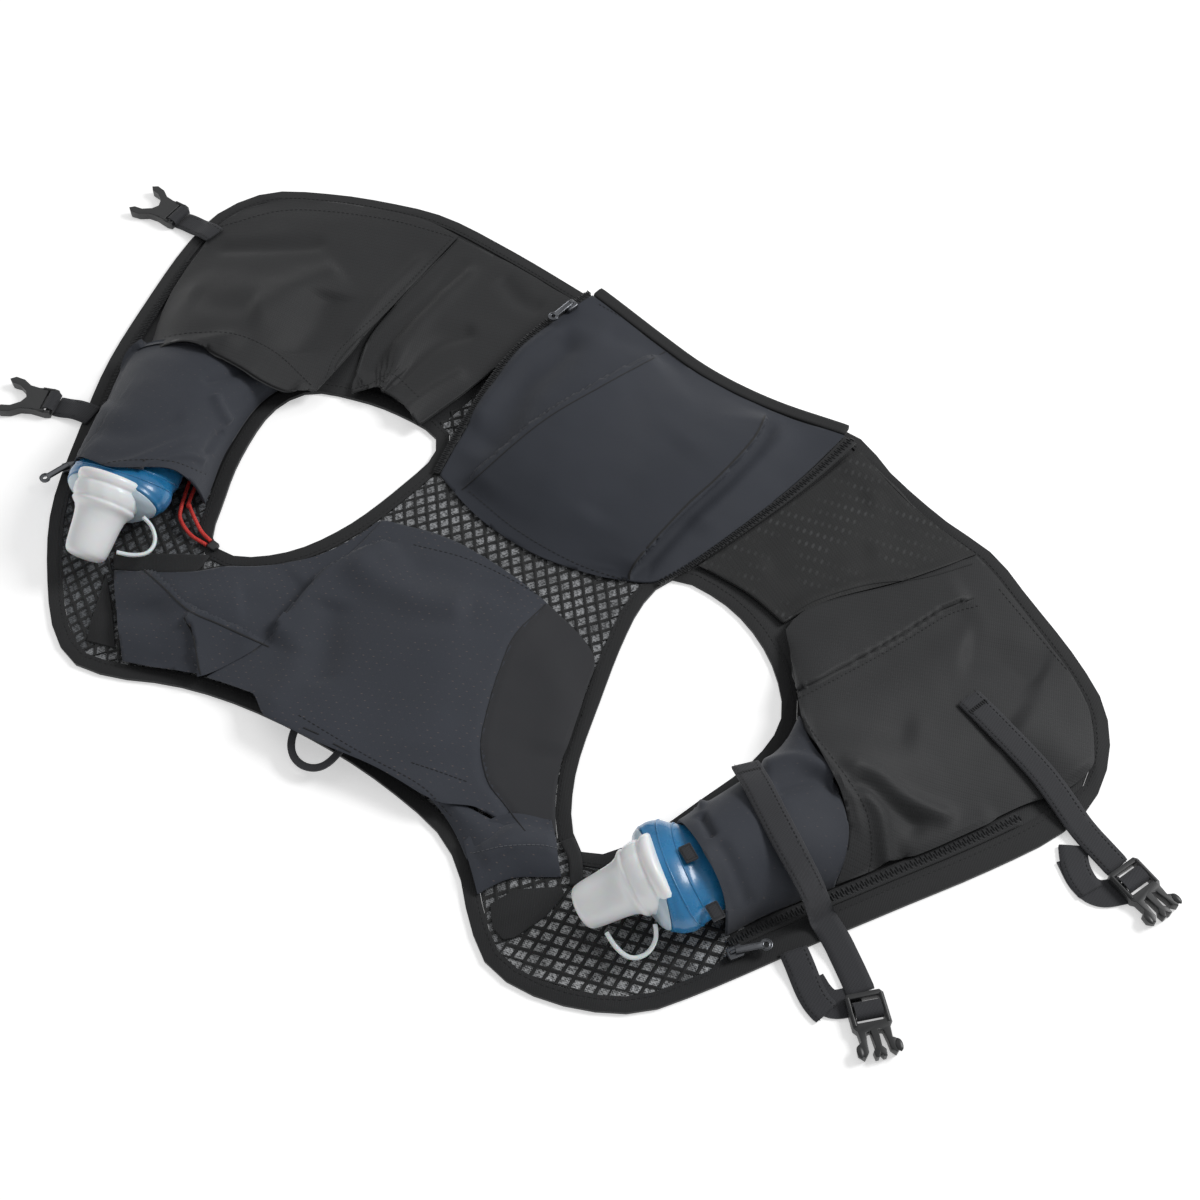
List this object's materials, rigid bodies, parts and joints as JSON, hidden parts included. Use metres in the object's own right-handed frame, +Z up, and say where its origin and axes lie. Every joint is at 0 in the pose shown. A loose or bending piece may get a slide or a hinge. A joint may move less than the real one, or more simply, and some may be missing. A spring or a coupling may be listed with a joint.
{
  "type": "running hydration vest with soft flasks",
  "caption": "Running hydration vest laid open flat, with mesh back, zipped back and yoke pockets, stretch front pockets, flask sleeves holding soft flasks, and side-release straps.",
  "frame": {"origin": "middle of the vest's extent, on the floor it lies on", "axes": "+X to the right as seen from above with the neck nearest the viewer, +Y from the neck to the hem, +Z up"},
  "size_m": [0.8455, 0.4366, 0.052],
  "materials": {
    "navy_cloth": "matt woven navy-charcoal cloth with a fine weave",
    "stretch_mesh": "matt black stretch mesh",
    "diamond_mesh": "black knitted mesh with a raised diamond lattice",
    "trim": "black woven tape and binding",
    "black_plastic": "moulded black plastic, slightly shiny",
    "zip_metal": "dark coated metal",
    "red_cord": "bright red braided elastic",
    "blue_film": "glossy translucent blue soft film",
    "clear_plastic": "milky translucent plastic"
  },
  "bodies": {
    "root": {"back_mesh_panel": "diamond_mesh", "left_shoulder_mesh": "diamond_mesh", "right_shoulder_mesh": "diamond_mesh", "left_front_panel": "stretch_mesh", "right_front_panel": "stretch_mesh", "outer_binding": "trim", "left_armhole_binding": "trim", "right_armhole_binding": "trim", "back_pocket": "navy_cloth", "back_hem_binding": "trim", "back_left_zip": "trim", "back_right_zip": "trim", "yoke_pocket": "navy_cloth", "yoke_left_end": "navy_cloth", "yoke_right_end": "navy_cloth", "yoke_right_flap": "navy_cloth", "left_shoulder_band": "trim", "right_shoulder_band": "trim", "yoke_left_facing": "navy_cloth", "yoke_right_facing": "stretch_mesh", "left_side_pocket": "stretch_mesh", "left_front_pocket": "stretch_mesh", "right_front_pocket": "stretch_mesh", "right_side_panel": "stretch_mesh", "left_flask_sleeve": "navy_cloth", "right_flask_sleeve": "navy_cloth", "left_front_zip": "trim", "right_front_zip": "trim", "left_waist_webbing": "trim", "left_chest_webbing": "trim", "right_waist_tail": "trim", "right_chest_tail": "trim", "right_waist_strap": "trim", "right_chest_strap": "trim", "right_waist_buckle": "black_plastic", "right_chest_buckle": "black_plastic", "left_waist_buckle": "black_plastic", "left_chest_buckle": "black_plastic", "left_flask_body": "blue_film", "left_flask_shoulder": "clear_plastic", "left_flask_cap": "clear_plastic", "left_flask_loop": "clear_plastic", "right_flask_body": "blue_film", "right_flask_shoulder": "clear_plastic", "right_flask_cap": "clear_plastic", "right_flask_loop": "clear_plastic", "left_sleeve_tab": "trim", "right_sleeve_tab": "trim", "right_sleeve_side_tab": "trim", "back_zip_slider": "zip_metal", "back_zip_pull": "zip_metal", "left_front_zip_slider": "zip_metal", "left_front_zip_pull": "zip_metal", "right_front_zip_slider": "zip_metal", "right_front_zip_pull": "zip_metal", "hang_loop": "trim", "elastic_cord_upper": "red_cord", "elastic_cord_lower": "red_cord", "cord_fitting": "black_plastic"}
  },
  "joints": []
}
